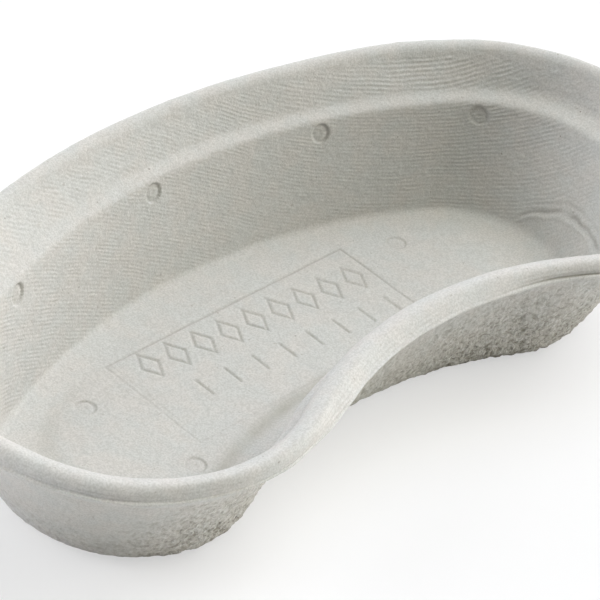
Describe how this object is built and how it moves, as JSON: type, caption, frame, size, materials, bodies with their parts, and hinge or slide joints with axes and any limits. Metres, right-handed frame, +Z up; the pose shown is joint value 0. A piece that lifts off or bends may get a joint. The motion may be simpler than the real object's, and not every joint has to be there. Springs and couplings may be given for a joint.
{
  "type": "kidney dish",
  "caption": "Open kidney-shaped dish of moulded paper pulp with sloping walls, an inner shoulder and a rolled rim, for catching fluids or holding small items.",
  "frame": {"origin": "centre of the dish's bounding box, on the plane that its flat base rests on", "axes": "+X along the long side, +Y towards the convex back edge, +Z up out of the open top"},
  "size_m": [0.26, 0.1282, 0.048],
  "materials": {
    "moulded_pulp": "matte, fibrous"
  },
  "bodies": {
    "root": {"pulp_dish": "moulded_pulp"}
  },
  "joints": []
}
